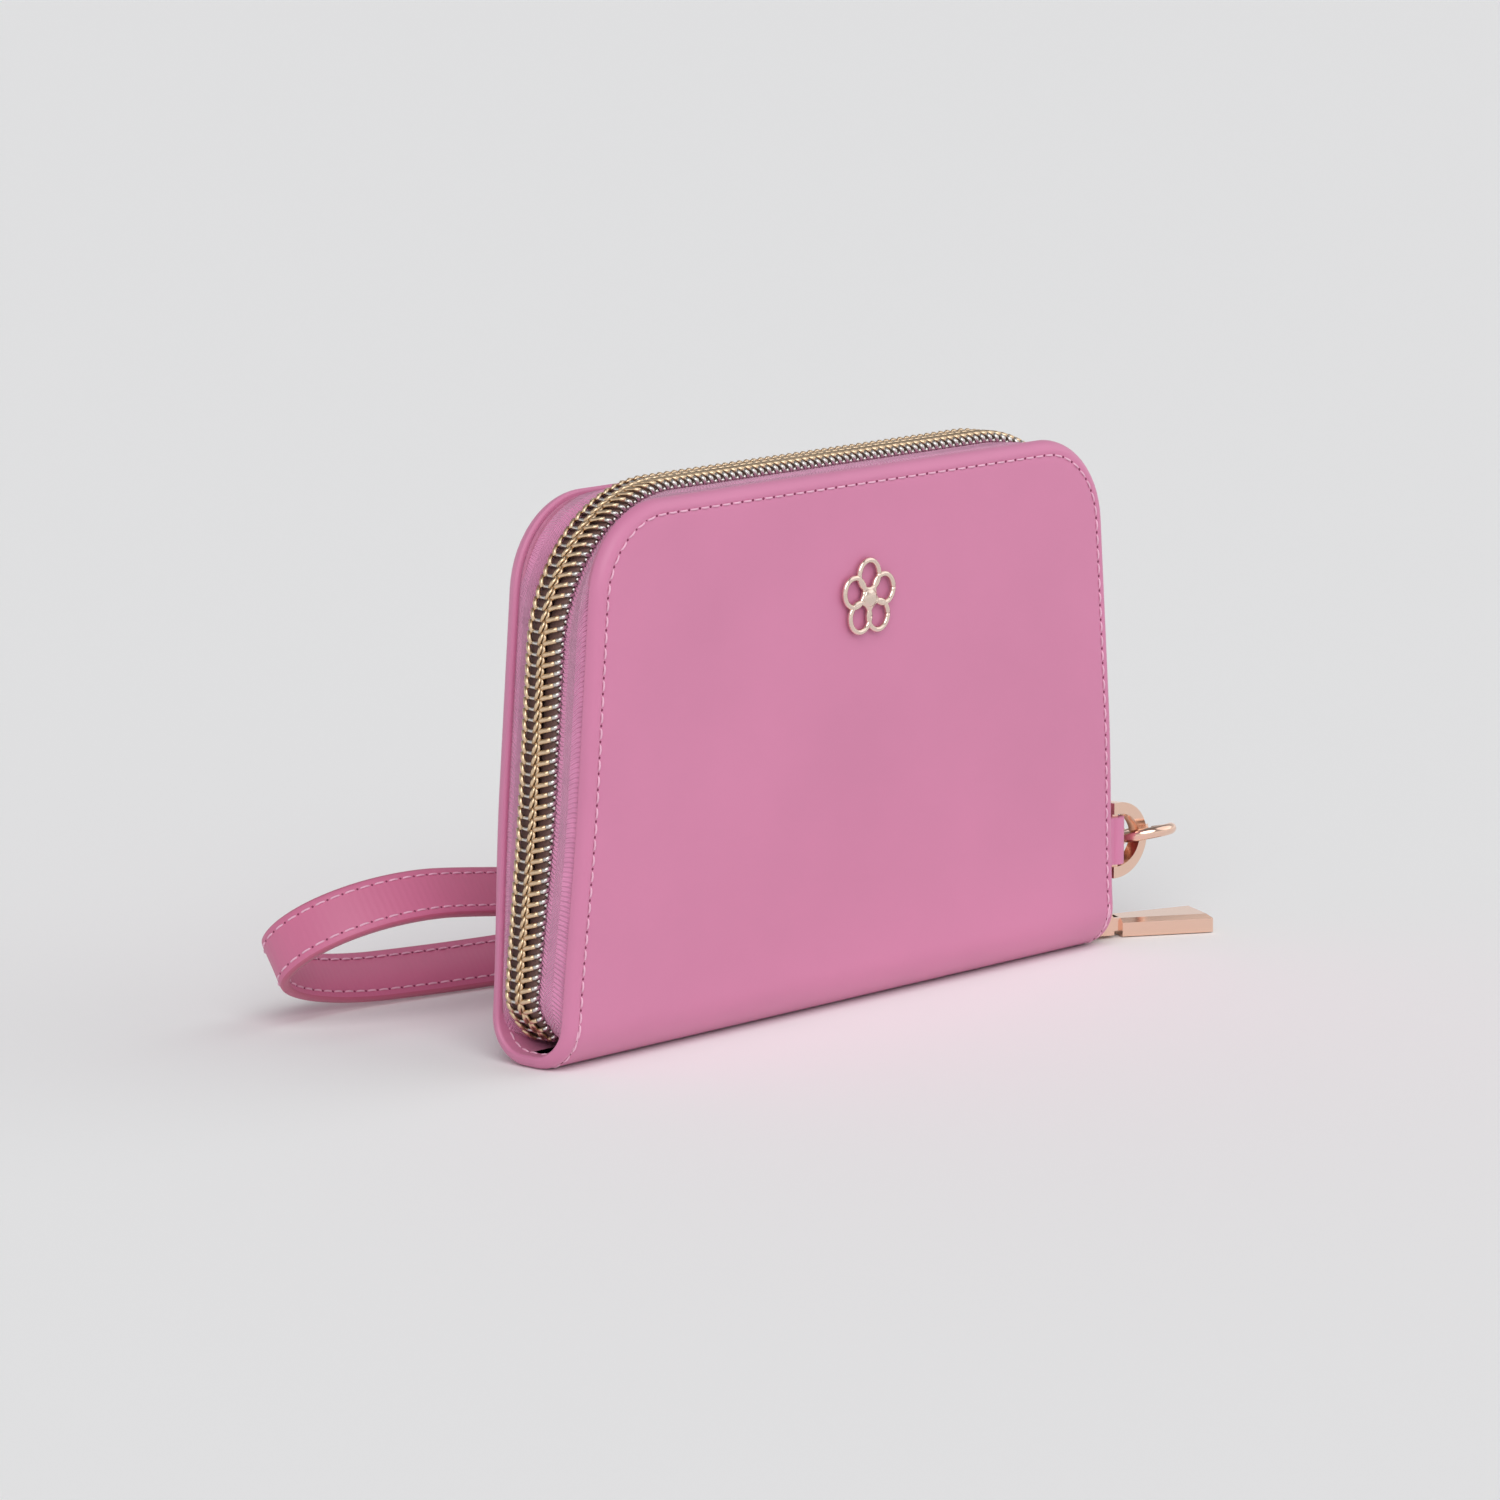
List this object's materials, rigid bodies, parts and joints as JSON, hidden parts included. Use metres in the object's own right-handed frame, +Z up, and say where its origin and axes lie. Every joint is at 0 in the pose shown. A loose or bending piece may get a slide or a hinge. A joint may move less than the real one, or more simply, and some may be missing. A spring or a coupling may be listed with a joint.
{
  "type": "zip-around wristlet wallet",
  "caption": "Zip-around wristlet wallet standing on its spine, with a fold-open back, card and coin pockets, and a clip-on wrist strap.",
  "frame": {"origin": "centre of the flat strip under the spine, on the surface it stands on", "axes": "+X along the spine towards the strap ring, +Y from the front cover to the back cover, +Z up"},
  "size_m": [0.1892, 0.08, 0.1019],
  "materials": {
    "cover_leather": "smooth fine-grain leather, satin",
    "strap_leather": "cross-grain leather, satin",
    "zip_tape": "woven twill",
    "zip_coil": "pale gold metallised coil",
    "stiffener": "fibre board",
    "lining": "woven lining",
    "rose_gold": "polished rose gold plating"
  },
  "bodies": {
    "front_half": {"front_cover": "cover_leather", "spine_board": "stiffener", "spine_lining": "lining", "front_board": "stiffener", "front_turned_edge": "cover_leather", "front_lining": "lining", "card_pocket_1": "lining", "card_pocket_2": "lining", "card_pocket_3": "lining", "card_pocket_4": "lining", "front_zip_tape": "zip_tape", "front_zip_teeth": "zip_coil", "zip_end_stop": "zip_coil", "ring_tab": "cover_leather", "flower_ornament": "rose_gold"},
    "back_half": {"back_cover": "cover_leather", "back_board": "stiffener", "back_turned_edge": "cover_leather", "back_lining": "lining", "back_slip_pocket": "lining", "back_zip_tape": "zip_tape", "back_zip_teeth": "zip_coil"},
    "coin_divider": {"coin_pocket_front": "lining", "coin_pocket_back": "lining", "coin_pocket_binding": "lining", "coin_zip_tape": "zip_tape", "coin_zip_teeth": "zip_coil"},
    "coin_slider": {"coin_zip_slider": "rose_gold"},
    "coin_pull": {"coin_zip_pull": "rose_gold"},
    "zip_slider": {"zip_slider_body": "rose_gold", "puller_pin": "rose_gold"},
    "puller": {"zip_puller": "rose_gold"},
    "ring": {"d_ring": "rose_gold"},
    "snap_hook": {"hook_body": "rose_gold", "gate_pin": "rose_gold"},
    "gate": {"hook_gate": "rose_gold"},
    "wrist_strap": {"swivel_eye": "rose_gold", "strap_outer": "strap_leather", "strap_lining": "strap_leather", "strap_filler": "strap_leather"}
  },
  "joints": [
    {"name": "open_back", "type": "hinge", "parent": "front_half", "child": "back_half", "pos_m": [0, 0.00795, 0.00205], "axis": [-1, 0, 0], "range_deg": [0, 90]},
    {"name": "divider_turn", "type": "hinge", "parent": "front_half", "child": "coin_divider", "pos_m": [0, 0.0007, 0.0038], "axis": [-1, 0, 0], "range_deg": [0, 45]},
    {"name": "coin_zip_slide", "type": "slide", "parent": "coin_divider", "child": "coin_slider", "axis": [-1, 0, 0], "range_m": [0, 0.1]},
    {"name": "coin_pull_lift", "type": "hinge", "parent": "coin_slider", "child": "coin_pull", "pos_m": [0.0511, -0.0024, 0.0748], "axis": [-1, 0, 0], "range_deg": [0, 12]},
    {"name": "zip_slide", "type": "slide", "parent": "front_half", "child": "zip_slider", "axis": [-0.0823, 0, 0.9966], "range_m": [0, 0.012]},
    {"name": "puller_lift", "type": "hinge", "parent": "zip_slider", "child": "puller", "pos_m": [0.083, -0.0005, 0.0025], "axis": [-0.454, -0.891, 0], "range_deg": [0, 30]},
    {"name": "ring_swing", "type": "hinge", "parent": "front_half", "child": "ring", "pos_m": [0.0778, -0.0074, 0.0205], "axis": [0, 0, -1], "range_deg": [0, 70]},
    {"name": "hook_swing", "type": "hinge", "parent": "ring", "child": "snap_hook", "pos_m": [0.0874, -0.0074, 0.0205], "axis": [0, 0, -1], "range_deg": [0, 110]},
    {"name": "gate_open", "type": "hinge", "parent": "snap_hook", "child": "gate", "pos_m": [0.0911, -0.00382, 0.01977], "axis": [0.018, -0.219, -0.9756], "range_deg": [0, 16.5], "stiffness_Nm_per_rad": 0.002, "springref_deg": -11.46},
    {"name": "swivel_turn", "type": "hinge", "parent": "snap_hook", "child": "wrist_strap", "pos_m": [0.085, 0.02176, 0.0139], "axis": [-0.08, 0.9722, -0.22], "range_deg": [0, 120]}
  ],
  "couplings": [
    {"joint": "divider_turn", "follows": "open_back", "ratio": 0.5},
    {"joint": "hook_swing", "follows": "open_back", "ratio": 1.2222}
  ]
}
